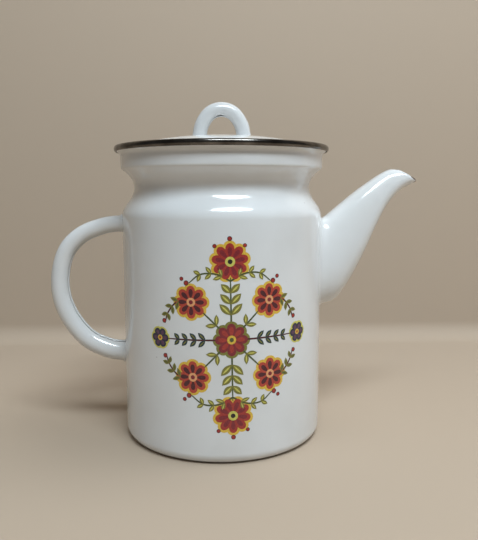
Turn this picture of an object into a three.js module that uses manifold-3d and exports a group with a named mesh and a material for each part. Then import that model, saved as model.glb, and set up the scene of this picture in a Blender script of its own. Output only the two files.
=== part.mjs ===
// Enamelled steel pot with a short pouring spout, a side handle and a lift-off lid.
// Millimetres, +Z up. The origin is the middle of the flat base. The spout points along +X
// and the handle along -X.
import * as THREE from 'three';
import { mergeVertices } from 'three/addons/utils/BufferGeometryUtils.js';
import Module from 'manifold-3d';

const wasm = await Module();
wasm.setup();

// ---- driving dimensions -------------------------------------------------------------

const WELD_GAP = 0.3;            // clearance drawn at every welded or resting joint
const TURN_STEPS = 36;           // facets round the pot and the lid

// pot shell
const BODY_RADIUS = 65;
const BODY_WALL = 1.2;
const BASE_CORNER = 6.5;
const SHOULDER_HEIGHT = 143.5;   // where the straight wall ends
const NECK_RADIUS = 57;
const NECK_RISE = 19;            // shoulder to the narrowest point of the neck
const COLLAR_RADIUS = 65.3;
const FUNNEL_RISE = 10.9;        // neck to the bottom of the collar
const COLLAR_RISE = 8;
const FLANGE_RISE = 4.2;
const FLANGE_REACH = 2.85;       // collar wall to the edge of the turned-out flange

// bead crimped over the flange
const BEAD_WALL = 0.6;
const BEAD_ROOM = 0.35;          // flange sheet to the inside of the bead

// holes in the pot wall behind the spout
const STRAINER_RADIUS = 2.8;
const STRAINER_PITCH = 9;
const STRAINER_ROWS = 5;
const STRAINER_BOTTOM = 98;      // height of the lowest row

// spout
const SPOUT_WALL = 1.2;
const SPOUT_ROOT_HALF_WIDTH = 17.5;
const SPOUT_MOUTH_HALF_WIDTH = 7.4;
const SPOUT_REACH = 63.4;        // pot wall to the tip of the lip
const SPOUT_TIP_HEIGHT = 166.2;

// side handle, a strip curled into a tube
const HANDLE_TOP_RADIUS = 5.3;
const HANDLE_BOTTOM_RADIUS = 6.9;
const HANDLE_WALL = 1.1;
const HANDLE_SLOT_ANGLE = 0.17;  // half of the open seam, in radians
const HANDLE_REACH = 43.4;       // pot wall to the tube's middle at its furthest
const HANDLE_TOP_HEIGHT = 139.3;
const HANDLE_BOTTOM_HEIGHT = 53;

// lid
const LID_WALL = 1;
const LID_CLEARANCE = 0.7;       // skirt to the inside of the collar
const LID_SKIRT = 9;
const LID_RISE = 9.4;            // bead of the lid to the top of the dome
const LID_BEAD = 2;              // how far the resting bead stands out past the skirt

// loop on the lid
const LOOP_RADIUS = 4.7;
const LOOP_WALL = 0.9;
const LOOP_SLOT_ANGLE = 0.22;
const LOOP_HALF_SPAN = 14.6;     // middle of the lid to the middle of a leg
const LOOP_RISE = 17.5;           // top of the dome to the middle of the tube at its top

// ---- heights worked out from the sizes above ----------------------------------------

const NECK_HEIGHT = SHOULDER_HEIGHT + NECK_RISE;
const COLLAR_BOTTOM = NECK_HEIGHT + FUNNEL_RISE;
const COLLAR_TOP = COLLAR_BOTTOM + COLLAR_RISE;
const FLANGE_HEIGHT = COLLAR_TOP + FLANGE_RISE;
const FLANGE_RADIUS = COLLAR_RADIUS + FLANGE_REACH;
const LID_SEAT = FLANGE_HEIGHT + 0.3;
const LID_TOP = LID_SEAT + LID_RISE;

// ---- materials ----------------------------------------------------------------------

function enamel(colour) {
  return new THREE.MeshStandardMaterial({ color: colour, roughness: 0.18, metalness: 0 });
}

function stainless() {
  return new THREE.MeshStandardMaterial({ color: 0x9a958e, roughness: 0.28, metalness: 1 });
}

// ---- solids -------------------------------------------------------------------------

function bareGeometry(geometry) {
  const bare = geometry.clone();
  bare.deleteAttribute('normal');
  bare.deleteAttribute('uv');
  return mergeVertices(bare, 1e-4);
}

function signedVolume(position, index) {
  const [a, b, c] = [new THREE.Vector3(), new THREE.Vector3(), new THREE.Vector3()];
  let volume = 0;
  for (let i = 0; i < index.length; i += 3) {
    a.fromBufferAttribute(position, index[i]);
    b.fromBufferAttribute(position, index[i + 1]);
    c.fromBufferAttribute(position, index[i + 2]);
    volume += a.dot(b.cross(c)) / 6;
  }
  return volume;
}

// Triangles with no area are dropped, and the faces are turned to point out.
function closedSolid(geometry) {
  const bare = bareGeometry(geometry);
  const source = Array.from(bare.index.array);
  const index = [];
  for (let i = 0; i < source.length; i += 3) {
    const [a, b, c] = source.slice(i, i + 3);
    if (a !== b && b !== c && c !== a) index.push(a, b, c);
  }
  if (signedVolume(bare.attributes.position, index) < 0) index.reverse();
  bare.setIndex(index);
  return bare;
}

function manifoldOf(geometry) {
  const solid = closedSolid(geometry);
  return new wasm.Manifold(new wasm.Mesh({
    numProp: 3,
    vertProperties: new Float32Array(solid.attributes.position.array),
    triVerts: new Uint32Array(solid.index.array),
  }));
}

function geometryOf(manifold) {
  const mesh = manifold.getMesh();
  const geometry = new THREE.BufferGeometry();
  geometry.setAttribute('position', new THREE.BufferAttribute(new Float32Array(mesh.vertProperties), 3));
  geometry.setIndex(Array.from(mesh.triVerts));
  return geometry;
}

function cut(geometry, ...cutters) {
  const left = cutters.reduce((whole, cutter) => whole.subtract(manifoldOf(cutter)), manifoldOf(geometry));
  return geometryOf(left);
}

// A profile of [radius, height] points turned about the Z axis.
function turned(profile) {
  const points = profile.map(([radius, height]) => new THREE.Vector2(radius, height));
  return closedSolid(new THREE.LatheGeometry(points, TURN_STEPS).rotateX(Math.PI / 2));
}

// Triangles that fill an outline, turning the same way as its points do.
function capTriangles(outline) {
  const triangles = THREE.ShapeUtils.triangulateShape(outline, []);
  return THREE.ShapeUtils.isClockWise(outline) ? triangles.map(([a, b, c]) => [c, b, a]) : triangles;
}

// Rings of points joined one to the next, with both ends closed.
function loft(rings, outlines) {
  const count = rings[0].length;
  const position = rings.flat().flatMap((point) => [point.x, point.y, point.z]);
  const index = [];
  for (let ring = 0; ring + 1 < rings.length; ring += 1) {
    for (let i = 0; i < count; i += 1) {
      const a = ring * count + i;
      const b = ring * count + (i + 1) % count;
      index.push(a, b, b + count, a, b + count, a + count);
    }
  }
  const last = (rings.length - 1) * count;
  for (const [a, b, c] of capTriangles(outlines[0])) index.push(c, b, a);
  for (const [a, b, c] of capTriangles(outlines.at(-1))) index.push(last + a, last + b, last + c);
  const geometry = new THREE.BufferGeometry();
  geometry.setAttribute('position', new THREE.Float32BufferAttribute(position, 3));
  geometry.setIndex(index);
  return closedSolid(geometry);
}

// ---- sheet profiles -----------------------------------------------------------------

function bezier(from, leave, arrive, to, steps) {
  const points = [from, leave, arrive, to].map(([x, y]) => new THREE.Vector2(x, y));
  return new THREE.CubicBezierCurve(...points).getPoints(steps).map((point) => [point.x, point.y]);
}

// A line of points moved sideways, to the left of its direction of travel.
function offset(line, distance) {
  return line.map(([x, y], i) => {
    const before = line[Math.max(i - 1, 0)];
    const after = line[Math.min(i + 1, line.length - 1)];
    const [dx, dy] = [after[0] - before[0], after[1] - before[1]];
    const length = Math.hypot(dx, dy);
    const moved = [x - dy / length * distance, y + dx / length * distance];
    return i === 0 && x === 0 ? [0, y + distance] : moved;
  });
}

// The pot's outside, from the middle of the base to the edge of the flange.
function potOutside() {
  const corner = [];
  for (let i = 0; i <= 5; i += 1) {
    const angle = -Math.PI / 2 + i / 5 * Math.PI / 2;
    corner.push([
      BODY_RADIUS - BASE_CORNER + BASE_CORNER * Math.cos(angle),
      BASE_CORNER + BASE_CORNER * Math.sin(angle),
    ]);
  }
  const shoulder = bezier(
    [BODY_RADIUS, SHOULDER_HEIGHT],
    [BODY_RADIUS, SHOULDER_HEIGHT + NECK_RISE * 0.43],
    [NECK_RADIUS, SHOULDER_HEIGHT + NECK_RISE * 0.57],
    [NECK_RADIUS, NECK_HEIGHT],
    7,
  );
  const funnel = bezier(
    [NECK_RADIUS, NECK_HEIGHT],
    [NECK_RADIUS, NECK_HEIGHT + FUNNEL_RISE * 0.42],
    [COLLAR_RADIUS - 4.5, COLLAR_BOTTOM - 2.4],
    [COLLAR_RADIUS - 0.9, COLLAR_BOTTOM],
    5,
  );
  const flange = bezier(
    [COLLAR_RADIUS, COLLAR_TOP],
    [COLLAR_RADIUS, COLLAR_TOP + FLANGE_RISE * 0.45],
    [FLANGE_RADIUS - 1.6, FLANGE_HEIGHT - 1.6],
    [FLANGE_RADIUS, FLANGE_HEIGHT],
    4,
  );
  return [[0, 0], ...corner, ...shoulder, ...funnel.slice(1), [COLLAR_RADIUS, COLLAR_BOTTOM + 2], ...flange];
}

// Everything inside the pot's outside and the weld gap, to trim what is welded on.
function weldTrimmer() {
  const outside = offset(potOutside(), -WELD_GAP);
  return turned([...outside, [0, outside.at(-1)[1]]]);
}

// ---- pot body: one deep-drawn shell --------------------------------------------------

function strainerHole(y, z) {
  const hole = new THREE.CylinderGeometry(STRAINER_RADIUS, STRAINER_RADIUS, BODY_RADIUS, 10);
  return hole.rotateZ(Math.PI / 2).translate(BODY_RADIUS, y, z);
}

function strainerHoles() {
  const holes = [];
  for (let row = 0; row < STRAINER_ROWS; row += 1) {
    const across = row % 2 === 0 ? [-0.5, 0.5] : [-1, 0, 1];
    for (const place of across) {
      holes.push(strainerHole(place * STRAINER_PITCH, STRAINER_BOTTOM + row * STRAINER_PITCH * 0.87));
    }
  }
  return holes;
}

function potBody() {
  const outside = potOutside();
  const inside = offset(outside, BODY_WALL);
  return cut(turned([...outside, ...inside.reverse()]), ...strainerHoles());
}

// ---- trim ring: a tube slit along its length and pressed over the flange --------------

function rimTrimRing() {
  const towardsFlange = Math.PI * 1.25;
  const bore = BODY_WALL / 2 + BEAD_ROOM;
  const halfSlot = Math.asin((BODY_WALL / 2 + WELD_GAP) / bore);
  const open = 2 * Math.PI - 2 * halfSlot;
  const sheetMiddle = BODY_WALL / 2 * Math.SQRT1_2;
  const arc = [];
  for (let i = 0; i <= 8; i += 1) arc.push(towardsFlange + halfSlot + i / 8 * open);
  const at = (radius) => (angle) => [
    FLANGE_RADIUS - sheetMiddle + radius * Math.cos(angle),
    FLANGE_HEIGHT + sheetMiddle + radius * Math.sin(angle),
  ];
  const outer = arc.map(at(bore + BEAD_WALL));
  const inner = arc.map(at(bore)).reverse();
  return turned([...outer, ...inner, outer[0]]);
}

// ---- spout: two pressed halves, welded on the middle plane -----------------------------

// Top edge, bottom edge and fullness of the spout at each section, as shares of its reach.
function spoutStations() {
  const place = ([reach, height]) => new THREE.Vector2(
    BODY_RADIUS + SPOUT_REACH * reach,
    SPOUT_TIP_HEIGHT + height,
  );
  const top = [
    [-0.14, -35.4], [0.03, -24.4], [0.19, -15.9], [0.35, -7.6], [0.49, -1],
    [0.6, 3.7], [0.685, 6.6], [0.745, 7.7], [0.79, 7.5],
  ].map(place);
  const bottom = [
    [-0.14, -81.8], [0.03, -81.2], [0.165, -77.7], [0.3, -65.7], [0.44, -49.2],
    [0.557, -32.2], [0.675, -17.4], [0.82, -6.4], [1, 0],
  ].map(place);
  const width = [1, 1, 0.93, 0.8, 0.64, 0.46, 0.29, 0.13, 0];
  return { top: new THREE.SplineCurve(top), bottom: new THREE.SplineCurve(bottom), width };
}

function spoutHalf(side) {
  const { top, bottom, width } = spoutStations();
  const steps = 16;
  const facets = 9;
  const rings = [];
  const outlines = [];
  for (let i = 0; i <= steps; i += 1) {
    const along = i / steps;
    const high = top.getPoint(along);
    const low = bottom.getPoint(along);
    const place = along * (width.length - 1);
    const lower = Math.min(Math.floor(place), width.length - 2);
    const share = THREE.MathUtils.lerp(width[lower], width[lower + 1], place - lower);
    const halfWidth = THREE.MathUtils.lerp(SPOUT_MOUTH_HALF_WIDTH, SPOUT_ROOT_HALF_WIDTH, share);
    const halfDepth = high.distanceTo(low) / 2;
    const middle = high.clone().add(low).multiplyScalar(0.5);
    const up = high.clone().sub(low).normalize();
    const section = (inset, angle) => {
      const rise = Math.sign(Math.cos(angle)) * Math.abs(Math.cos(angle)) ** 0.92;
      const swell = Math.sin(angle) ** 0.85 * (1 - 0.22 * Math.cos(angle));
      return new THREE.Vector2((halfWidth - inset) * swell, (halfDepth - inset) * rise);
    };
    const outline = [];
    for (let k = 0; k <= facets; k += 1) outline.push(section(0, k / facets * Math.PI));
    for (let k = facets; k >= 0; k -= 1) outline.push(section(SPOUT_WALL, k / facets * Math.PI));
    outlines.push(outline);
    rings.push(outline.map((point) => new THREE.Vector3(
      middle.x + up.x * point.y,
      side * (point.x + WELD_GAP / 2),
      middle.y + up.y * point.y,
    )));
  }
  return cut(loft(rings, outlines), weldTrimmer());
}

// ---- curled strips: the side handle and the lid's loop --------------------------------

// A tube with an open seam, swept along a curve in the XZ plane. The seam faces the inside
// of the bend.
function curledStrip(path, steps, radiusAt, wall, slotAngle) {
  const facets = 9;
  const rings = [];
  const outlines = [];
  for (let i = 0; i <= steps; i += 1) {
    const along = i / steps;
    const centre = path.getPointAt(along);
    const travel = path.getTangentAt(along);
    const outward = new THREE.Vector3(travel.z, 0, -travel.x);
    const radius = radiusAt(along);
    const outline = [];
    const ring = (size, from, to) => {
      for (let k = 0; k <= facets; k += 1) {
        const angle = THREE.MathUtils.lerp(from, to, k / facets);
        outline.push(new THREE.Vector2(size * Math.sin(angle), size * Math.cos(angle)));
      }
    };
    const end = Math.PI - slotAngle;
    ring(radius, -end, end);
    ring(radius - wall, end, -end);
    outlines.push(outline);
    rings.push(outline.map((point) => centre.clone()
      .addScaledVector(outward, point.y)
      .add(new THREE.Vector3(0, point.x, 0))));
  }
  return loft(rings, outlines);
}

function handlePath() {
  const top = HANDLE_TOP_HEIGHT;
  const span = HANDLE_TOP_HEIGHT - HANDLE_BOTTOM_HEIGHT;
  const points = [
    [-0.12, 0], [0.28, -0.018], [0.62, -0.085], [0.86, -0.203], [0.99, -0.379],
    [0.98, -0.571], [0.83, -0.752], [0.575, -0.903], [0.25, -0.981], [-0.12, -1],
  ];
  return new THREE.CatmullRomCurve3(points.map(([reach, drop]) => new THREE.Vector3(
    -BODY_RADIUS - HANDLE_REACH * reach,
    0,
    top + span * drop,
  )));
}

function handle() {
  const radiusAt = (along) => THREE.MathUtils.lerp(HANDLE_TOP_RADIUS, HANDLE_BOTTOM_RADIUS, along);
  const tube = curledStrip(handlePath(), 22, radiusAt, HANDLE_WALL, HANDLE_SLOT_ANGLE);
  return cut(tube, weldTrimmer());
}

// ---- lid: a pressed dome, a folded bead that rests on the flange, and a skirt ----------

function lidOutside() {
  const skirt = COLLAR_RADIUS - BODY_WALL - LID_CLEARANCE;
  const bead = skirt + LID_BEAD;
  const dome = [];
  for (let i = 0; i <= 6; i += 1) {
    const radius = i / 6 * (bead - 2.4);
    dome.push([radius, LID_TOP - LID_RISE * 0.84 * (radius / (bead - 2.4)) ** 2.2]);
  }
  return [
    ...dome,
    [bead - 0.5, LID_SEAT + 0.9],
    [bead, LID_SEAT + 0.2],
    [bead - 0.3, LID_SEAT - 0.5],
    [skirt + 0.2, LID_SEAT - 2.2],
    [skirt, LID_SEAT - 3],
    [skirt, LID_SEAT - LID_SKIRT],
  ];
}

function lidCover() {
  const outside = lidOutside();
  const inside = offset(outside, -LID_WALL);
  return turned([...outside, ...inside.reverse()]);
}

function lidLoop() {
  const base = LID_TOP - 6;
  const rise = LOOP_RISE + 6;
  const points = [
    [1.02, 0], [0.99, 0.25], [0.86, 0.6], [0.5, 0.9], [0, 1],
    [-0.5, 0.9], [-0.86, 0.6], [-0.99, 0.25], [-1.02, 0],
  ].map(([across, up]) => new THREE.Vector3(across * LOOP_HALF_SPAN, 0, base + up * rise));
  const tube = curledStrip(
    new THREE.CatmullRomCurve3(points), 16, () => LOOP_RADIUS, LOOP_WALL, LOOP_SLOT_ANGLE,
  );
  const under = offset(lidOutside().slice(0, 7), WELD_GAP);
  return cut(tube, turned([...under, [under.at(-1)[0], LID_TOP - 30], [0, LID_TOP - 30]]));
}

// ---- assembly -------------------------------------------------------------------------

function piece(name, geometry, material) {
  const mesh = new THREE.Mesh(geometry, material);
  mesh.name = name;
  return mesh;
}

const pot = new THREE.Group();
pot.add(
  piece('pot_body', potBody(), enamel(0xd6d9dc)),
  piece('rim_trim_ring', rimTrimRing(), stainless()),
  piece('spout_left_half', spoutHalf(1), enamel(0xd4d7da)),
  piece('spout_right_half', spoutHalf(-1), enamel(0xd4d7da)),
  piece('handle', handle(), enamel(0xd2d4d6)),
);

const lid = new THREE.Group();
lid.add(
  piece('lid_cover', lidCover(), enamel(0xd8dadc)),
  piece('lid_loop', lidLoop(), enamel(0xd3d5d6)),
);

const assembly = new THREE.Group();
assembly.add(pot, lid);

export default assembly;
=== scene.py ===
import math

import bmesh
import bpy
from mathutils import Matrix, Vector


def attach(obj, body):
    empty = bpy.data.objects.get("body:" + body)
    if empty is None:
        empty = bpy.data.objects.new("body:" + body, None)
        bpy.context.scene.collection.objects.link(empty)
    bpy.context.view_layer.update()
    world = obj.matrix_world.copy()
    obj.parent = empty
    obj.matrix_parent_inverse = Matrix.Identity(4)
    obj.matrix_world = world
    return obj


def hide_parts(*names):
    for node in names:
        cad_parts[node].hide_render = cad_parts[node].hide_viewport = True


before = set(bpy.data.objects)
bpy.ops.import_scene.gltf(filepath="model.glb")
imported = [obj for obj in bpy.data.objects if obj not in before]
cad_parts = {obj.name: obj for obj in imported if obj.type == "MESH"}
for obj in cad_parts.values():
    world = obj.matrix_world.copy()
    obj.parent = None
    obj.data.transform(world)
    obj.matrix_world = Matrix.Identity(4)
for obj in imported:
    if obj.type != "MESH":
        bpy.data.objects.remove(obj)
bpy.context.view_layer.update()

scene = bpy.context.scene
MM = 0.001

# ---- Camera ----
# Level with the neck of the pot and a short arm's length away, looking a little down and a
# little towards the spout.
CAMERA_DISTANCE = 0.403
CAMERA_HEIGHT = 0.159
CAMERA_FOCUS = 40.4 * MM
FRAME_HEIGHT = 36 * MM

camera_data = bpy.data.cameras.new("camera")
camera_data.sensor_fit = "VERTICAL"
camera_data.sensor_height = FRAME_HEIGHT * 1000
camera_data.lens = CAMERA_FOCUS * 1000
camera_data.clip_start = 0.01
camera = bpy.data.objects.new("camera", camera_data)
camera.location = (0, -CAMERA_DISTANCE, CAMERA_HEIGHT)
camera.rotation_euler = (math.radians(90 - 7.28), math.radians(0.1), math.radians(-1.6))
scene.collection.objects.link(camera)
scene.camera = camera

# ---- Pot body ----
# One deep-drawn steel shell: flat base, rounded corner, straight wall, shoulder, neck, funnel,
# collar and turned-out flange. It is enamelled white inside and out, so every edge is soft.
# The holes behind the spout are punched before it is enamelled.
BODY_RADIUS = 65 * MM
BODY_WALL = 1.2 * MM
BASE_CORNER = 6.5 * MM
SHOULDER_HEIGHT = 143.5 * MM
NECK_RADIUS = 57 * MM
NECK_HEIGHT = 162.5 * MM
COLLAR_RADIUS = 65.3 * MM
COLLAR_BOTTOM = 173.4 * MM
COLLAR_TOP = 181.4 * MM
FLANGE_RADIUS = 68.15 * MM
FLANGE_HEIGHT = 185.6 * MM
FLANGE_LEAN = 1.6 * MM
FUNNEL_START = 4.6 * MM
FUNNEL_IN = 4.5 * MM
FUNNEL_DOWN = 2.4 * MM
STEP_FILLET = 0.9 * MM
TURN_STEPS = 160


def curve_points(start, leave, arrive, end, steps):
    """Points along a cubic curve, without its first point."""
    points = []
    for i in range(1, steps + 1):
        t = i / steps
        weights = ((1 - t) ** 3, 3 * t * (1 - t) ** 2, 3 * t * t * (1 - t), t ** 3)
        points.append(tuple(
            sum(w * p[k] for w, p in zip(weights, (start, leave, arrive, end))) for k in (0, 1)
        ))
    return points


def arc_points(centre, radius, first, last, steps):
    """Points along an arc, from the angle first to the angle last, in degrees."""
    turns = [math.radians(first + (last - first) * i / steps) for i in range(steps + 1)]
    return [(centre[0] + radius * math.cos(a), centre[1] + radius * math.sin(a)) for a in turns]


def beside(line, distance):
    """The same line moved sideways, to the left of its direction of travel."""
    moved = []
    for i, (x, y) in enumerate(line):
        before, after = line[max(i - 1, 0)], line[min(i + 1, len(line) - 1)]
        dx, dy = after[0] - before[0], after[1] - before[1]
        length = math.hypot(dx, dy)
        moved.append((max(x - dy / length * distance, 0), y + dx / length * distance))
    return moved


def pot_outside():
    corner = arc_points((BODY_RADIUS - BASE_CORNER, BASE_CORNER), BASE_CORNER, -90, 0, 12)
    rise = NECK_HEIGHT - SHOULDER_HEIGHT
    shoulder = curve_points(
        (BODY_RADIUS, SHOULDER_HEIGHT), (BODY_RADIUS, SHOULDER_HEIGHT + 0.43 * rise),
        (NECK_RADIUS, SHOULDER_HEIGHT + 0.57 * rise), (NECK_RADIUS, NECK_HEIGHT), 24,
    )
    step_start = (COLLAR_RADIUS - STEP_FILLET, COLLAR_BOTTOM)
    funnel = curve_points(
        (NECK_RADIUS, NECK_HEIGHT), (NECK_RADIUS, NECK_HEIGHT + FUNNEL_START),
        (COLLAR_RADIUS - FUNNEL_IN, COLLAR_BOTTOM - FUNNEL_DOWN), step_start, 18,
    )
    step = curve_points(
        step_start, (COLLAR_RADIUS - 0.3 * STEP_FILLET, COLLAR_BOTTOM + 0.5 * STEP_FILLET),
        (COLLAR_RADIUS, COLLAR_BOTTOM + 1.2 * STEP_FILLET),
        (COLLAR_RADIUS, COLLAR_BOTTOM + 2.4 * STEP_FILLET), 6,
    )
    rise = FLANGE_HEIGHT - COLLAR_TOP
    flange = curve_points(
        (COLLAR_RADIUS, COLLAR_TOP), (COLLAR_RADIUS, COLLAR_TOP + 0.45 * rise),
        (FLANGE_RADIUS - FLANGE_LEAN, FLANGE_HEIGHT - FLANGE_LEAN), (FLANGE_RADIUS, FLANGE_HEIGHT), 10,
    )
    straight = SHOULDER_HEIGHT - BASE_CORNER
    wall = [(BODY_RADIUS, BASE_CORNER + straight * i / 12) for i in range(1, 13)]
    base = [(0, 0), (20 * MM, 0), (40 * MM, 0)]
    return base + corner + wall + shoulder + funnel + step + [(COLLAR_RADIUS, COLLAR_TOP)] + flange


def new_piece(name, bm, *materials):
    """Closes up a finished bmesh, turns its faces outwards and makes it a smooth object."""
    bmesh.ops.remove_doubles(bm, verts=bm.verts, dist=0.002 * MM)
    bmesh.ops.recalc_face_normals(bm, faces=bm.faces)
    mesh = bpy.data.meshes.new(name)
    bm.to_mesh(mesh)
    bm.free()
    for material in materials:
        mesh.materials.append(material)
    mesh.shade_smooth()
    piece = bpy.data.objects.new(name, mesh)
    scene.collection.objects.link(piece)
    return piece


def turned(profile, closed=False):
    """A profile of (radius, height) points spun once round the pot's axis."""
    bm = bmesh.new()
    ring = [bm.verts.new((radius, 0, height)) for radius, height in profile]
    edges = [bm.edges.new(pair) for pair in zip(ring, ring[1:])]
    if closed:
        edges.append(bm.edges.new((ring[-1], ring[0])))
    bmesh.ops.spin(
        bm, geom=ring + edges, cent=(0, 0, 0), axis=(0, 0, 1), angle=math.tau,
        steps=TURN_STEPS, use_merge=True,
    )
    return bm


def build_enamel_group():
    """Colour, roughness and height of fired enamel: faint clouding, orange peel, grey specks."""
    group = bpy.data.node_groups.new("enamel_surface", "ShaderNodeTree")
    face = group.interface
    face.new_socket("Enamel", in_out="INPUT", socket_type="NodeSocketColor")
    face.new_socket("Clouding", in_out="INPUT", socket_type="NodeSocketColor")
    face.new_socket("Specks", in_out="INPUT", socket_type="NodeSocketFloat")
    face.new_socket("Colour", in_out="OUTPUT", socket_type="NodeSocketColor")
    face.new_socket("Roughness", in_out="OUTPUT", socket_type="NodeSocketFloat")
    face.new_socket("Height", in_out="OUTPUT", socket_type="NodeSocketFloat")
    nodes, links = group.nodes, group.links
    taken = nodes.new("NodeGroupInput")
    given = nodes.new("NodeGroupOutput")
    place = nodes.new("ShaderNodeTexCoord")

    def noise(scale, detail):
        node = nodes.new("ShaderNodeTexNoise")
        node.inputs["Scale"].default_value = scale
        node.inputs["Detail"].default_value = detail
        links.new(place.outputs["Object"], node.inputs["Vector"])
        return node.outputs["Fac"]

    def graded(value, low, high, out_low, out_high):
        node = nodes.new("ShaderNodeMapRange")
        for socket, number in zip(node.inputs[1:5], (low, high, out_low, out_high)):
            socket.default_value = number
        links.new(value, node.inputs[0])
        return node.outputs[0]

    def mixed(mask, first, second):
        node = nodes.new("ShaderNodeMix")
        node.data_type = "RGBA"
        links.new(mask, node.inputs["Factor"])
        for socket, colour in ((node.inputs[6], first), (node.inputs[7], second)):
            if isinstance(colour, tuple):
                socket.default_value = colour
            else:
                links.new(colour, socket)
        return node.outputs[2]

    def times(first, second):
        node = nodes.new("ShaderNodeMath")
        node.operation = "MULTIPLY"
        links.new(first, node.inputs[0])
        if isinstance(second, float):
            node.inputs[1].default_value = second
        else:
            links.new(second, node.inputs[1])
        return node.outputs[0]

    clouds = graded(noise(26, 3), 0.42, 0.72, 0, 0.55)
    clouded = mixed(clouds, taken.outputs["Enamel"], taken.outputs["Clouding"])
    cells = nodes.new("ShaderNodeTexVoronoi")
    cells.inputs["Scale"].default_value = 78
    links.new(place.outputs["Object"], cells.inputs["Vector"])
    dot = graded(cells.outputs["Distance"], 0.012, 0.04, 0.8, 0)
    chosen = nodes.new("ShaderNodeSeparateColor")
    links.new(cells.outputs["Color"], chosen.inputs["Color"])
    rare = graded(chosen.outputs["Red"], 0.74, 0.78, 0, 1)
    specks = times(times(dot, rare), taken.outputs["Specks"])
    links.new(mixed(specks, clouded, (0.3, 0.295, 0.29, 1)), given.inputs["Colour"])
    links.new(graded(noise(140, 4), 0.3, 0.75, 0.085, 0.17), given.inputs["Roughness"])
    swell = nodes.new("ShaderNodeMath")
    swell.operation = "MULTIPLY_ADD"
    swell.inputs[1].default_value = 6.0
    links.new(noise(55, 1), swell.inputs[0])
    links.new(noise(420, 2), swell.inputs[2])
    links.new(swell.outputs[0], given.inputs["Height"])
    return group


enamel_surface = build_enamel_group()


def enamel(name, colour, clouding, specks=1.0):
    """White enamel: a hard gloss over a thick, slightly uneven white coat."""
    material = bpy.data.materials.new(name)
    material.use_nodes = True
    nodes, links = material.node_tree.nodes, material.node_tree.links
    shader = nodes["Principled BSDF"]
    shader.inputs["IOR"].default_value = 1.52
    shader.inputs["Coat Weight"].default_value = 0.35
    shader.inputs["Coat Roughness"].default_value = 0.13
    surface = nodes.new("ShaderNodeGroup")
    surface.node_tree = enamel_surface
    surface.inputs["Enamel"].default_value = (*colour, 1)
    surface.inputs["Clouding"].default_value = (*clouding, 1)
    surface.inputs["Specks"].default_value = specks
    bump = nodes.new("ShaderNodeBump")
    bump.inputs["Strength"].default_value = 0.35
    bump.inputs["Distance"].default_value = 0.00006
    links.new(surface.outputs["Colour"], shader.inputs["Base Color"])
    links.new(surface.outputs["Roughness"], shader.inputs["Roughness"])
    links.new(surface.outputs["Height"], bump.inputs["Height"])
    links.new(bump.outputs["Normal"], shader.inputs["Normal"])
    return material


pot_enamel = enamel("pot_enamel", (0.72, 0.735, 0.745), (0.64, 0.645, 0.64))

outside = pot_outside()
inside = [(0, BODY_WALL)] + beside(outside, BODY_WALL)[1:]
pot_blank = new_piece("pot_blank", turned(outside + inside[::-1]), pot_enamel)

STRAINER_RADIUS = 2.8 * MM
STRAINER_PITCH = 9 * MM
STRAINER_BOTTOM = 98 * MM
punch_bm = bmesh.new()
for row in range(5):
    for place in ((-0.5, 0.5), (-1, 0, 1))[row % 2]:
        turn = Matrix.Rotation(math.pi / 2, 4, "Y")
        where = Matrix.Translation((
            BODY_RADIUS, place * STRAINER_PITCH, STRAINER_BOTTOM + row * 0.87 * STRAINER_PITCH,
        ))
        bmesh.ops.create_cone(
            punch_bm, cap_ends=True, segments=28, radius1=STRAINER_RADIUS, radius2=STRAINER_RADIUS,
            depth=20 * MM, matrix=where @ turn,
        )
punches = new_piece("strainer_punches", punch_bm)
punching = pot_blank.modifiers.new("strainer_holes", "BOOLEAN")
punching.operation = "DIFFERENCE"
punching.solver = "EXACT"
punching.object = punches
bpy.context.view_layer.update()
evaluated = pot_blank.evaluated_get(bpy.context.evaluated_depsgraph_get())
punched = bpy.data.meshes.new_from_object(evaluated)
punched.name = "pot_shell"
pot_shell = bpy.data.objects.new("pot_shell", punched)
scene.collection.objects.link(pot_shell)
bpy.data.objects.remove(pot_blank)
bpy.data.objects.remove(punches)
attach(pot_shell, "pot")
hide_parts("pot_body")

# ---- Trim ring ----
# A stainless strip rolled into a tall oval bead and pressed over the raw edge of the flange.
# It is open towards the flange, and its steel is painted a dark brown-grey: painted shade for the dark
# room it reflects.
RING_WALL = 0.6 * MM
RING_BORE = 0.95 * MM
RING_RADIUS = RING_BORE + RING_WALL
SLOT_HALF_WIDTH = BODY_WALL / 2 + 0.3 * MM
RING_OPEN = math.degrees(math.asin(SLOT_HALF_WIDTH / RING_BORE))
RING_TALLNESS = 1.3
RING_NARROWING = 0.97
RING_LIFT = 0.4 * MM


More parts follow.
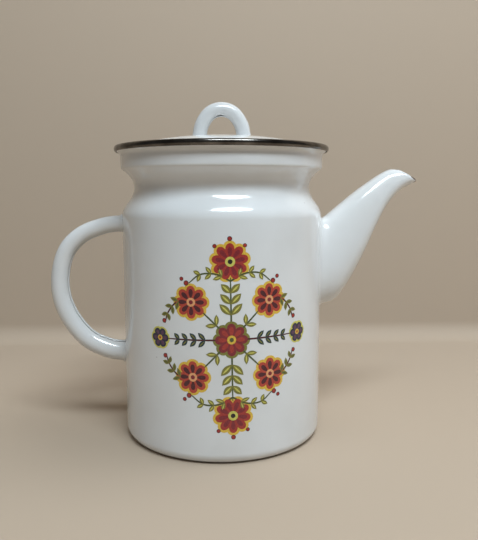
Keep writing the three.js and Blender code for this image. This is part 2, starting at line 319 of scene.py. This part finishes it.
def steel(name):
    """Rolled stainless steel with fine lengthwise lines, painted a dark mottled brown-grey: painted
    shade for the dark room it reflects.
    """
    material = bpy.data.materials.new(name)
    material.use_nodes = True
    nodes, links = material.node_tree.nodes, material.node_tree.links
    shader = nodes["Principled BSDF"]
    shader.inputs["Metallic"].default_value = 1
    place = nodes.new("ShaderNodeTexCoord")
    painted_dark_mottle = nodes.new("ShaderNodeTexNoise")
    painted_dark_mottle.inputs["Scale"].default_value = 90
    painted_dark_mottle.inputs["Detail"].default_value = 5
    lines = nodes.new("ShaderNodeTexNoise")
    lines.inputs["Scale"].default_value = 60
    stretch = nodes.new("ShaderNodeMapping")
    stretch.inputs["Scale"].default_value = (1, 1, 40)
    # Both ramp colours are painted shade, far darker than bare steel, standing for the dark room the
    # ring reflects.
    shades = nodes.new("ShaderNodeValToRGB")
    shades.color_ramp.elements[0].position = 0.35
    shades.color_ramp.elements[0].color = (0.075, 0.066, 0.058, 1)
    shades.color_ramp.elements[1].position = 0.65
    shades.color_ramp.elements[1].color = (0.2, 0.186, 0.172, 1)
    rough = nodes.new("ShaderNodeMapRange")
    rough.inputs["To Min"].default_value = 0.12
    rough.inputs["To Max"].default_value = 0.3
    bump = nodes.new("ShaderNodeBump")
    bump.inputs["Strength"].default_value = 0.25
    bump.inputs["Distance"].default_value = 0.00004
    links.new(place.outputs["Object"], painted_dark_mottle.inputs["Vector"])
    links.new(place.outputs["Object"], stretch.inputs["Vector"])
    links.new(stretch.outputs["Vector"], lines.inputs["Vector"])
    links.new(painted_dark_mottle.outputs["Fac"], shades.inputs["Fac"])
    links.new(shades.outputs["Color"], shader.inputs["Base Color"])
    links.new(lines.outputs["Fac"], rough.inputs["Value"])
    links.new(rough.outputs["Result"], shader.inputs["Roughness"])
    links.new(lines.outputs["Fac"], bump.inputs["Height"])
    links.new(bump.outputs["Normal"], shader.inputs["Normal"])
    return material


ring_steel = steel("ring_steel")
sheet_middle = BODY_WALL / 2 * math.sqrt(0.5)
ring_centre = (FLANGE_RADIUS - sheet_middle, FLANGE_HEIGHT + sheet_middle)
first, last = 225 + RING_OPEN, 585 - RING_OPEN
ring_section = arc_points(ring_centre, RING_RADIUS, first, last, 24)
ring_section += arc_points(ring_centre, RING_BORE, last, first, 16)
ring_section = [
    (ring_centre[0] + RING_NARROWING * (radius - ring_centre[0]),
     ring_centre[1] + RING_LIFT + RING_TALLNESS * (height - ring_centre[1]))
    for radius, height in ring_section
]
trim_ring = new_piece("trim_ring", turned(ring_section, closed=True), ring_steel)
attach(trim_ring, "pot")
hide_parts("rim_trim_ring")

# ---- Spout ----
# Two pressed half shells welded along the top and bottom, dressed to a low ridge, then welded
# to the wall with a fillet and enamelled all over. The lip is cut at a slant, and years of
# pouring have chipped it down to the dark ground coat.
SPOUT_WALL = 1.2 * MM
SPOUT_TIP = Vector((128 * MM, 0, 166.1 * MM))
SPOUT_TOP = [
    (67, 141.8), (77, 150.3), (87, 158.6), (96, 165.2),
    (103, 169.9), (108.3, 172.8), (112.2, 173.9), (115, 173.7),
]
SPOUT_BOTTOM = [
    (67, 85), (75.5, 88.5), (84.2, 100.5), (92.8, 117),
    (100.3, 134), (107.7, 148.8), (117, 159.8), (128, 166.1),
]
SPOUT_HALF_WIDTH = [17.5, 16.8, 15.2, 13.4, 11.3, 9.6, 8.3, 7.4]
SPOUT_RIDGE = 0.35 * MM
SPOUT_BURIED = 0.3 * MM
SPOUT_STEPS = 36
SECTION_POINTS = 56


def smooth_path(values, t):
    """A value or point at t, from 0 to 1, on a smooth curve through evenly spaced values."""
    values = [Vector(v) if hasattr(v, "__len__") else v for v in values]
    place = min(max(t, 0), 1) * (len(values) - 1)
    k = min(int(place), len(values) - 2)
    s = place - k
    b, c = values[k], values[k + 1]
    a = values[k - 1] if k > 0 else 2 * b - c
    d = values[k + 2] if k + 2 < len(values) else 2 * c - b
    bend = 2 * a - 5 * b + 4 * c - d
    twist = 3 * b - a - 3 * c + d
    return 0.5 * (2 * b + s * (c - a) + s * s * bend + s ** 3 * twist)


def ring_of(bm, points):
    """A closed ring of edges through points."""
    ring = bmesh.ops.create_circle(bm, segments=len(points), radius=1 * MM)["verts"]
    for vert, point in zip(ring, points):
        vert.co = point
    return ring


def loft(bm, rings, close=False):
    """Skins one ring to the next, and the last to the first where close is set."""
    pairs = list(zip(rings, rings[1:])) + ([(rings[-1], rings[0])] if close else [])
    for here, there in pairs:
        both = set(here) | set(there)
        edges = {e for v in both for e in v.link_edges if e.other_vert(v) in both}
        edges = [e for e in edges if not (e.verts[0] in here) ^ (e.verts[1] in here)]
        bmesh.ops.bridge_loops(bm, edges=edges)


def spout_section(t, inset, ridge=0.0):
    """One slice of the spout at t, from the wall to the lip."""
    high, low = (smooth_path(side, t) * MM for side in (SPOUT_TOP, SPOUT_BOTTOM))
    half_width = smooth_path(SPOUT_HALF_WIDTH, t) * MM - inset
    middle, half = (high + low) / 2, (high - low) / 2
    depth = half.length - inset
    up = half.normalized()
    points = []
    for k in range(SECTION_POINTS):
        turn = math.tau * k / SECTION_POINTS
        shoulder = max(math.cos(turn), 0) ** 0.5
        rise = math.copysign(abs(math.cos(turn)) ** (0.94 - 0.26 * shoulder), math.cos(turn))
        swell = math.copysign(abs(math.sin(turn)) ** (0.86 - 0.3 * shoulder), math.sin(turn))
        swell *= 1 - 0.22 * math.cos(turn)
        lift = depth * rise + math.copysign(ridge, rise) * math.exp(-(math.sin(turn) / 0.1) ** 2)
        points.append(Vector((middle.x + up.x * lift, half_width * swell, middle.y + up.y * lift)))
    return points


def on_wall(point, stand_off, spread, centre):
    """The point moved onto the pot's wall, and away from the centre of the root by spread."""
    away = Vector((0, point.y - centre.y, point.z - centre.z)).normalized() * spread
    y, z = point.y + away.y, point.z + away.z
    return Vector((math.sqrt((BODY_RADIUS + stand_off) ** 2 - y ** 2), y, z))


CHIP_WANDER = 1.1 * MM
THIN_CHIP_DEPTH = 0.8 * MM
THIN_CHIP_REACH = 12.5 * MM
THICK_CHIP_DEPTH = 1.9 * MM
THICK_CHIP_REACH = 6.8 * MM
spout_enamel = enamel("spout_enamel", (0.71, 0.72, 0.725), (0.63, 0.635, 0.625))


def chip_lip(material, tip, back):
    """Shows the dark ground coat round the lip, and most of all at its tip."""
    nodes, links = material.node_tree.nodes, material.node_tree.links
    shader = nodes["Principled BSDF"]
    surface = next(n for n in nodes if n.type == "GROUP")
    place = nodes.new("ShaderNodeTexCoord")
    ragged = nodes.new("ShaderNodeTexNoise")
    ragged.inputs["Scale"].default_value = 700
    ragged.inputs["Detail"].default_value = 3
    links.new(place.outputs["Object"], ragged.inputs["Vector"])

    def math_node(kind, *values):
        on_vectors = kind in ("DOT_PRODUCT", "DISTANCE")
        node = nodes.new("ShaderNodeVectorMath" if on_vectors else "ShaderNodeMath")
        node.operation = kind
        for socket, value in zip(node.inputs, values):
            if isinstance(value, (int, float, tuple)):
                socket.default_value = value
            else:
                links.new(value, socket)
        return node.outputs["Value"]

    across = (tip - back).normalized()
    normal = Vector((-across.z, 0, across.x))
    if normal.z < 0:
        normal = -normal
    height = math_node("DOT_PRODUCT", place.outputs["Object"], tuple(normal))
    below = math_node("SUBTRACT", tip.dot(normal), height)
    from_tip = math_node("DISTANCE", place.outputs["Object"], tuple(tip))
    wander = math_node("MULTIPLY", ragged.outputs["Fac"], CHIP_WANDER)
    nearest = math_node("ADD", from_tip, math_node("MULTIPLY", wander, 5.0))
    thin = math_node("LESS_THAN", math_node("ADD", below, wander), THIN_CHIP_DEPTH)
    thin = math_node("MULTIPLY", thin, math_node("LESS_THAN", nearest, THIN_CHIP_REACH))
    thick = math_node("LESS_THAN", math_node("ADD", below, wander), THICK_CHIP_DEPTH)
    thick = math_node("MULTIPLY", thick, math_node("LESS_THAN", nearest, THICK_CHIP_REACH))
    worn = math_node("MAXIMUM", thin, thick)
    mix = nodes.new("ShaderNodeMix")
    mix.data_type = "RGBA"
    mix.inputs[7].default_value = (0.085, 0.05, 0.035, 1)
    links.new(worn, mix.inputs["Factor"])
    links.new(surface.outputs["Colour"], mix.inputs[6])
    links.new(mix.outputs[2], shader.inputs["Base Color"])
    dull = nodes.new("ShaderNodeMix")
    dull.inputs[3].default_value = 0.55
    links.new(worn, dull.inputs[0])
    links.new(surface.outputs["Roughness"], dull.inputs[2])
    links.new(dull.outputs[0], shader.inputs["Roughness"])


chip_lip(spout_enamel, SPOUT_TIP, Vector((115 * MM, 0, 173.7 * MM)))

bm = bmesh.new()
root_centre = Vector((0, 0, 114 * MM))
outer = [spout_section(i / SPOUT_STEPS, 0, ridge=SPOUT_RIDGE) for i in range(SPOUT_STEPS + 1)]
foot = outer[0]
fillet = [
    [on_wall(p, -SPOUT_BURIED, 2.6 * MM, root_centre) for p in foot],
    [on_wall(p, 0.12 * MM, 1.9 * MM, root_centre) for p in foot],
    [on_wall(p, 0.55 * MM, 0.9 * MM, root_centre) for p in foot],
    [on_wall(p, 1.3 * MM, 0.25 * MM, root_centre) for p in foot],
]
inner = [spout_section(i / SPOUT_STEPS, SPOUT_WALL) for i in range(SPOUT_STEPS, -1, -1)]
inner_root = [on_wall(p, -SPOUT_BURIED, 0, root_centre) for p in inner[-1]]
lip = [(a + b) / 2 + Vector((0.25, 0, 0.45)) * MM for a, b in zip(outer[-1], inner[0])]
loops = fillet + outer[1:] + [lip] + inner[:-1] + [inner_root]
loft(bm, [ring_of(bm, points) for points in loops], close=True)
spout = new_piece("spout", bm, spout_enamel)
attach(spout, "pot")
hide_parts("spout_left_half", "spout_right_half")

# ---- Handle ----
# A steel strip curled lengthwise into a tube, bent to a C and welded to the wall at both
# ends. Its open seam runs along the inner side, where the enamel has rounded the two lips.
HANDLE_PATH = [
    (-64, 139.3), (-77, 137.7), (-91.9, 132), (-102.4, 121.8), (-107.4, 106.6),
    (-107.1, 90), (-100.9, 74.4), (-90, 61.4), (-76, 54.7), (-64, 53),
]
HANDLE_TOP_RADIUS = 5.3 * MM
HANDLE_BOTTOM_RADIUS = 6.9 * MM
HANDLE_WALL = 1.1 * MM
HANDLE_SLOT = 0.17
HANDLE_TWIST = 0.3


def curled_section(radius, wall, slot, twist, points=18):
    """The C-shaped section of a curled strip: (sideways, outwards) points with rounded lips."""
    end = math.pi - slot
    outer = [(radius, -end + 2 * end * i / points) for i in range(points + 1)]
    rounding = ((0.08, 0.06), (0.5, 0.09), (0.92, 0.06))
    lip = [(radius - wall * depth, end + bulge) for depth, bulge in rounding]
    inner = [(radius - wall, end - 2 * end * i / points) for i in range(points + 1)]
    back = [(size, -angle) for size, angle in reversed(lip)]
    return [
        (size * math.sin(angle + twist), size * math.cos(angle + twist))
        for size, angle in outer + lip + inner + back
    ]


def curled_strip(path, steps, radius_at, wall, slot_at, twist, seat):
    """A curled strip swept along a path in the pot's middle plane. seat() sets the end rings."""
    bm = bmesh.new()
    rings = []
    for i in range(steps + 1):
        t = i / steps
        centre = smooth_path(path, t) * MM
        ahead = smooth_path(path, min(t + 0.004, 1)) - smooth_path(path, max(t - 0.004, 0))
        out = Vector((ahead.y, -ahead.x)).normalized()
        points = [
            Vector((centre.x + out.x * rise, side, centre.y + out.y * rise))
            for side, rise in curled_section(radius_at(t), wall, slot_at(t), twist)
        ]
        rings.append(ring_of(bm, seat(points, i, steps)))
    loft(bm, rings)
    for ring in (rings[0], rings[-1]):
        open_edges = [e for e in bm.edges if e.is_boundary and e.verts[0] in ring]
        bmesh.ops.contextual_create(bm, geom=open_edges)
    return bm


def on_the_wall(points, i, steps):
    """Ends the tube on the wall, a little swollen where the weld runs round it."""
    if i not in (0, steps):
        return points
    return [Vector((-math.sqrt((BODY_RADIUS - 0.3 * MM) ** 2 - p.y ** 2), p.y, p.z)) for p in points]


def handle_radius(t):
    weld = 1.1 * MM * (math.exp(-(t / 0.02) ** 2) + math.exp(-((1 - t) / 0.02) ** 2))
    return HANDLE_TOP_RADIUS + (HANDLE_BOTTOM_RADIUS - HANDLE_TOP_RADIUS) * t + weld


handle_enamel = enamel("handle_enamel", (0.7, 0.71, 0.715), (0.61, 0.61, 0.6), specks=0.6)
side_handle = new_piece(
    "side_handle",
    curled_strip(
        HANDLE_PATH, 110, handle_radius, HANDLE_WALL, lambda t: HANDLE_SLOT, HANDLE_TWIST, on_the_wall,
    ),
    handle_enamel,
)
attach(side_handle, "pot")
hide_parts("handle")

# ---- Lid cover ----
# One pressing: a shallow dome, a folded bead that rests on the flange, and a skirt that
# centres it in the collar. It is enamelled like the pot, its colour painted lighter as painted light
# from overhead.
LID_SEAT = FLANGE_HEIGHT + 0.3 * MM
LID_RISE = 9.4 * MM
LID_TOP = LID_SEAT + LID_RISE
LID_SKIRT_RADIUS = COLLAR_RADIUS - BODY_WALL - 0.7 * MM
LID_BEAD_RADIUS = LID_SKIRT_RADIUS + 2 * MM
LID_WALL = 1 * MM
DOME_RADIUS = LID_BEAD_RADIUS - 2.4 * MM
DOME_DROP = 0.84 * LID_RISE
DOME_POWER = 2.2


def dome_height(radius):
    return LID_TOP - DOME_DROP * (radius / DOME_RADIUS) ** DOME_POWER


dome = [(DOME_RADIUS * i / 30, dome_height(DOME_RADIUS * i / 30)) for i in range(31)]
slope = DOME_DROP * DOME_POWER / DOME_RADIUS
bead = curve_points(
    dome[-1], (dome[-1][0] + 1.4 * MM, dome[-1][1] - 1.4 * MM * slope),
    (LID_BEAD_RADIUS, LID_SEAT + 1 * MM), (LID_BEAD_RADIUS, LID_SEAT + 0.1 * MM), 8,
) + curve_points(
    (LID_BEAD_RADIUS, LID_SEAT + 0.1 * MM), (LID_BEAD_RADIUS, LID_SEAT - 0.9 * MM),
    (LID_SKIRT_RADIUS, LID_SEAT - 1.6 * MM), (LID_SKIRT_RADIUS, LID_SEAT - 3.4 * MM), 10,
)
lid_outside = dome + bead + [(LID_SKIRT_RADIUS, LID_SEAT - 9 * MM)]
lid_inside = [(0, LID_TOP - LID_WALL)] + beside(lid_outside, -LID_WALL)[1:]
# The lid's enamel is painted lighter than the pot's: painted light from overhead on its top.
lid_enamel_painted_light = enamel("lid_enamel_painted_light", (0.86, 0.865, 0.86), (0.8, 0.8, 0.79))
lid_cover = new_piece("lid_dome", turned(lid_outside + lid_inside[::-1]), lid_enamel_painted_light)
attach(lid_cover, "lid")
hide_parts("lid_cover")

# ---- Lid loop ----
# A narrower curled strip bent to an arch and welded to the dome. The seam is on the inside of
# the arch, and the enamel has cracked away from it at the top. Its enamel is painted darker than the
# pot's, as painted shade.
LOOP_SPAN = 14.6
LOOP_RISE = 23.2
LOOP_RADIUS = 4.7
LOOP_WALL = 0.9 * MM
LOOP_TWIST = 0.4
LOOP_BASE = LID_TOP / MM - 6
LOOP_PATH = [
    (across * LOOP_SPAN, LOOP_BASE + up * LOOP_RISE)
    for across, up in (
        (1.02, 0), (0.99, 0.25), (0.86, 0.6), (0.5, 0.9), (0, 1),
        (-0.5, 0.9), (-0.86, 0.6), (-0.99, 0.25), (-1.02, 0),
    )
]


def loop_radius(t):
    foot = math.exp(-((t - 0.09) / 0.035) ** 2) + math.exp(-((0.91 - t) / 0.035) ** 2)
    return (LOOP_RADIUS + 0.35 * foot) * MM


def loop_slot(t):
    """Half the seam's opening, in radians: it gapes a little at the top."""
    return 0.12 + 0.16 * math.exp(-((t - 0.53) / 0.07) ** 2)


def on_the_dome(points, i, steps):
    """Keeps the legs from reaching under the lid's sheet."""
    return [Vector((p.x, p.y, max(p.z, dome_height(math.hypot(p.x, p.y)) - 0.3 * MM))) for p in points]


# The loop's enamel is painted darker than the pot's: painted shade that dims the light on it.
loop_enamel_painted_shade = enamel("loop_enamel_painted_shade", (0.62, 0.63, 0.635), (0.53, 0.53, 0.52), specks=0.5)
lid_loop = new_piece(
    "loop_handle",
    curled_strip(LOOP_PATH, 80, loop_radius, LOOP_WALL, loop_slot, LOOP_TWIST, on_the_dome),
    loop_enamel_painted_shade,
)
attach(lid_loop, "lid")
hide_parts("lid_loop")

# ---- Flower decoration ----
# A fired transfer of a plain flower cross on the front of the pot. Each printed
# colour is a thin film of glaze on the one below it. One quarter is drawn flat, in
# millimetres, mirrored left to right and top to bottom, and then wrapped round the wall.
PRINT_CENTRE = (5.1, 75.5)
PRINT_TILT = math.radians(0.9)
FILM = 0.025
INKS = {
    "mustard": (218, 180, 66), "lemon": (204, 198, 96), "red": (160, 48, 42), "brick": (176, 62, 48),
    "crimson": (124, 32, 42), "maroon": (74, 22, 32), "olive": (122, 118, 50), "moss": (70, 80, 44),
    "teal": (24, 54, 60), "navy": (38, 40, 62), "plum": (84, 52, 80), "ink": (30, 22, 24),
    "peach": (226, 162, 112),
}
ink_names = list(INKS)


def printed(name, colour):
    """One printed colour: slightly mottled, and as glossy as the enamel it is fired into."""
    linear = [(c / 255 / 12.92) if c <= 10 else ((c / 255 + 0.055) / 1.055) ** 2.4 for c in colour]
    material = bpy.data.materials.new("print_" + name)
    material.use_nodes = True
    nodes, links = material.node_tree.nodes, material.node_tree.links
    shader = nodes["Principled BSDF"]
    shader.inputs["Coat Weight"].default_value = 0.3
    shader.inputs["Coat Roughness"].default_value = 0.06
    place = nodes.new("ShaderNodeTexCoord")
    mottle = nodes.new("ShaderNodeTexNoise")
    mottle.inputs["Scale"].default_value = 1500
    mottle.inputs["Detail"].default_value = 3
    shades = nodes.new("ShaderNodeValToRGB")
    shades.color_ramp.elements[0].position = 0.3
    shades.color_ramp.elements[0].color = (*[0.82 * c for c in linear], 1)
    shades.color_ramp.elements[1].position = 0.7
    shades.color_ramp.elements[1].color = (*[min(1, 1.12 * c + 0.008) for c in linear], 1)
    rough = nodes.new("ShaderNodeMapRange")
    rough.inputs["To Min"].default_value = 0.16
    rough.inputs["To Max"].default_value = 0.3
    links.new(place.outputs["Object"], mottle.inputs["Vector"])
    links.new(mottle.outputs["Fac"], shades.inputs["Fac"])
    links.new(shades.outputs["Color"], shader.inputs["Base Color"])
    links.new(mottle.outputs["Fac"], rough.inputs["Value"])
    links.new(rough.outputs["Result"], shader.inputs["Roughness"])
    return material


art = bmesh.new()
drawn = []


def film_height(level):
    """Height of the next shape: its ink's level, and a hair above the shape before it."""
    drawn.append(level)
    return (1 + level) * FILM + len(drawn) * 0.0002


def stroke(ink, level, path, widths):
    """A brush stroke along a path."""
    length = sum((Vector(b) - Vector(a)).length for a, b in zip(path, path[1:]))
    steps = max(10, int(length / 0.6))
    height = film_height(level)
    sides = []
    for i in range(steps + 1):
        t = i / steps
        here = smooth_path(path, t)
        ahead = smooth_path(path, min(t + 0.01, 1)) - smooth_path(path, max(t - 0.01, 0))
        across = Vector((-ahead.y, ahead.x)).normalized() * max(smooth_path(widths, t), 0.06) / 2
        sides.append([art.verts.new((*(here + across * edge), height)) for edge in (-1, 1)])
    for (a, b), (c, d) in zip(sides, sides[1:]):
        art.faces.new((a, c, d, b)).material_index = ink_names.index(ink)


def spot(ink, level, place):
    """A closed shape: place() turns an angle round a circle into a point."""
    height = film_height(level)
    rim = bmesh.ops.create_circle(art, cap_ends=True, segments=44, radius=1)["verts"]
    for vert in rim:
        vert.co = (*place(math.atan2(vert.co.y, vert.co.x)), height)
    for face in {f for v in rim for f in v.link_faces}:
        face.material_index = ink_names.index(ink)


def blob(ink, level, centre, radius):
    spot(ink, level, lambda a: Vector(centre) + Vector((math.cos(a), math.sin(a))) * radius)


def drop(ink, level, foot, head, width):
    """A teardrop: pointed at the foot and round at the head."""
    middle, along = (Vector(foot) + Vector(head)) / 2, (Vector(head) - Vector(foot)) / 2
    side = Vector((-along.y, along.x)).normalized()

    def place(angle):
        spread = 0.65 * width * math.sin(angle) * abs(math.sin(angle / 2))
        return middle - along * math.cos(angle) + side * spread

    spot(ink, level, place)


def leaf(ink, level, foot, tip, width):
    """A leaf pointed at both ends."""
    foot, tip = Vector(foot), Vector(tip)
    path = [foot.lerp(tip, k / 4) for k in range(5)]
    stroke(ink, level, path, [width * s for s in (0, 0.74, 1, 0.74, 0)])


def flower(centre, reach, petals, inks, turn=0.0):
    """A plain round flower: petals in a lighter halo, a button and a dot."""
    halo, outer, inner, button, dot = inks
    for k in range(petals):
        angle = math.tau * k / petals + turn
        way = Vector((math.cos(angle), math.sin(angle))) * reach
        width = 4.4 * reach / petals
        drop(halo, 0, centre, Vector(centre) + way * 1.14, width * 1.5)
        drop(outer, 1, centre, Vector(centre) + way, width)
        drop(inner, 2, Vector(centre) + way * 0.2, Vector(centre) + way * 0.8, width * 0.5)
    blob(button, 4, centre, reach * 0.27)
    blob(dot, 5, centre, reach * 0.13)


def sprig(path, leaves, length, inks):
    """A stem with plain leaves in pairs along it."""
    stem, blade, vein = inks
    stroke(stem, 1, path, [1.1, 1, 0.9, 0.6])
    for k in range(leaves):
        t = 0.2 + 0.7 * k / leaves
        foot = smooth_path(path, t)
        ahead = (smooth_path(path, t + 0.02) - foot).normalized()
        for side in (-1, 1):
            way = (ahead + Vector((-ahead.y, ahead.x)) * side).normalized()
            tip = foot + way * length * (1 - 0.35 * t)
            leaf(blade, 2, foot, tip, length * 0.4)
            leaf(vein, 3, foot.lerp(tip, 0.15), foot.lerp(tip, 0.85), length * 0.1)


# a cross of round flowers: one at each end, one on each diagonal and a rosette in the middle
GREENS = ("moss", "olive", "lemon")
sprig([(0, 9), (0, 18), (0, 27), (0, 36)], 3, 10, GREENS)
sprig([(9, 0), (19, 0), (29, 0), (38, 0)], 4, 6.5, ("maroon", "teal", "olive"))
sprig([(6, 6), (10, 10), (14, 14), (17, 17)], 1, 7, GREENS)
sprig([(0, 34), (8, 38), (17, 38), (24, 33)], 3, 6, GREENS)
sprig([(27, 24), (33, 21), (38, 15), (40, 9)], 3, 6, ("maroon", "olive", "moss"))
flower((0, 45), 10.5, 9, ("mustard", "red", "crimson", "lemon", "ink"), turn=math.pi / 2)
flower((23, 22), 9.5, 8, ("mustard", "brick", "maroon", "peach", "crimson"))
flower((44, 0), 6, 6, ("lemon", "navy", "plum", "mustard", "red"))
flower((0, 0), 9.5, 8, ("olive", "crimson", "red", "mustard", "moss"))
BERRIES = [((25.6, 33), 1.5), ((28.4, 35.4), 1.2), ((40.6, 10.4), 1.4), ((8.6, 54), 1.2), ((0, 58), 1.4)]
for centre, size in BERRIES:
    blob("maroon", 1, centre, size)
    blob("red", 2, centre, size * 0.7)

# the quarter is trimmed on both middle lines before it is mirrored across them
for normal in ((1, 0, 0), (0, 1, 0)):
    bmesh.ops.bisect_plane(
        art, geom=art.verts[:] + art.edges[:] + art.faces[:], dist=1e-5,
        plane_co=(0, 0, 0), plane_no=normal, clear_inner=True,
    )
for flip in ((-1, 1, 1), (1, -1, 1)):
    copy = bmesh.ops.duplicate(art, geom=art.verts[:] + art.edges[:] + art.faces[:])["geom"]
    bmesh.ops.scale(art, vec=flip, verts=[g for g in copy if isinstance(g, bmesh.types.BMVert)])

STRIP_WIDTH = 1.5
for k in range(-36, 37):
    bmesh.ops.bisect_plane(
        art, geom=art.verts[:] + art.edges[:] + art.faces[:], dist=1e-5,
        plane_co=(k * STRIP_WIDTH + 0.031, 0, 0), plane_no=(1, 0, 0),
    )

under = bmesh.ops.extrude_face_region(art, geom=art.faces[:], use_keep_orig=True)["geom"]
for vert in (g for g in under if isinstance(g, bmesh.types.BMVert)):
    vert.co.z = -0.01
for vert in art.verts:
    across, up = Matrix.Rotation(PRINT_TILT, 2) @ vert.co.xy
    angle = (PRINT_CENTRE[0] + across) * MM / BODY_RADIUS
    reach = BODY_RADIUS + vert.co.z * MM
    vert.co = (reach * math.sin(angle), -reach * math.cos(angle), (PRINT_CENTRE[1] + up) * MM)

bmesh.ops.recalc_face_normals(art, faces=art.faces)
print_mesh = bpy.data.meshes.new("flower_print")
art.to_mesh(print_mesh)
art.free()
for name, colour in INKS.items():
    print_mesh.materials.append(printed(name, colour))
flower_print = bpy.data.objects.new("flower_print", print_mesh)
scene.collection.objects.link(flower_print)
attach(flower_print, "pot")

# ---- Floor and light ----
# A pale table that sweeps up into a plain wall, and one large soft lamp above the camera that
# shows in the gloss. The other lamps only light: from overhead, the front and both sides.
floor_material = bpy.data.materials.new("pale_sweep")
floor_material.use_nodes = True
floor_shader = floor_material.node_tree.nodes["Principled BSDF"]
floor_shader.inputs["Base Color"].default_value = (0.45, 0.36, 0.276, 1)
floor_shader.inputs["Roughness"].default_value = 0.7

# The sweep has a front only: from behind or below it is looked through.
floor_nodes, floor_links = floor_material.node_tree.nodes, floor_material.node_tree.links
facing = floor_nodes.new("ShaderNodeNewGeometry")
see_through = floor_nodes.new("ShaderNodeBsdfTransparent")
one_sided = floor_nodes.new("ShaderNodeMixShader")
floor_links.new(facing.outputs["Backfacing"], one_sided.inputs[0])
floor_links.new(floor_shader.outputs["BSDF"], one_sided.inputs[1])
floor_links.new(see_through.outputs["BSDF"], one_sided.inputs[2])
floor_links.new(one_sided.outputs["Shader"], floor_nodes["Material Output"].inputs["Surface"])

bm = bmesh.new()
edge = [bm.verts.new((-2.2, -1.6, 0)), bm.verts.new((2.2, -1.6, 0))]
sweep_edges = [bm.edges.new(edge)]
SWEEP_RADIUS = 0.02
SWEEP_START = 0.22
bend = arc_points((SWEEP_START, SWEEP_RADIUS), SWEEP_RADIUS, -90, 0, 9)
for y, z in bend + [(SWEEP_START + SWEEP_RADIUS, 1.8)]:
    grown = bmesh.ops.extrude_edge_only(bm, edges=sweep_edges)["geom"]
    sweep_edges = [g for g in grown if isinstance(g, bmesh.types.BMEdge)]
    for vert in (g for g in grown if isinstance(g, bmesh.types.BMVert)):
        vert.co.y, vert.co.z = y, z
floor = new_piece("floor", bm, floor_material)
if floor.data.polygons[0].normal.z < 0:
    floor.data.flip_normals()


def soft_lamp(name, place, target, size, power, colour, mirrored=False):
    data = bpy.data.lights.new(name, "AREA")
    data.shape = "ELLIPSE"
    data.size, data.size_y = size
    data.energy = power
    data.color = colour
    lamp = bpy.data.objects.new(name, data)
    lamp.location = place
    lamp.rotation_euler = (Vector(target) - Vector(place)).to_track_quat("-Z", "Y").to_euler()
    lamp.visible_glossy = mirrored
    scene.collection.objects.link(lamp)


soft_lamp(
    "ceiling_light", (0.2, -0.75, 1.25), (0, 0, 0.1), (0.9, 0.3), 17.5, (0.81, 0.925, 1), mirrored=True,
)
soft_lamp("overhead_panel", (0.4, 0.02, 1.3), (0.1, 0, 0.1), (0.8, 0.5), 7, (0.9, 0.96, 1))
soft_lamp("front_fill", (0.1, -1.6, 0.9), (0, 0, 0.1), (1.4, 0.8), 1.2, (0.95, 0.98, 1))
soft_lamp("right_fill", (1.1, 0.05, 0.5), (0.1, 0.2, 0.1), (0.5, 0.8), 2.2, (0.95, 0.97, 1))
soft_lamp("left_fill", (-1.1, -0.6, 0.6), (0, 0, 0.1), (0.9, 0.9), 0.35, (1, 0.94, 0.86))
world = bpy.data.worlds.new("room")
world.use_nodes = True
world.node_tree.nodes["Background"].inputs["Color"].default_value = (0.6, 0.58, 0.55, 1)
world.node_tree.nodes["Background"].inputs["Strength"].default_value = 0.15
scene.world = world
scene.view_settings.view_transform = "Standard"
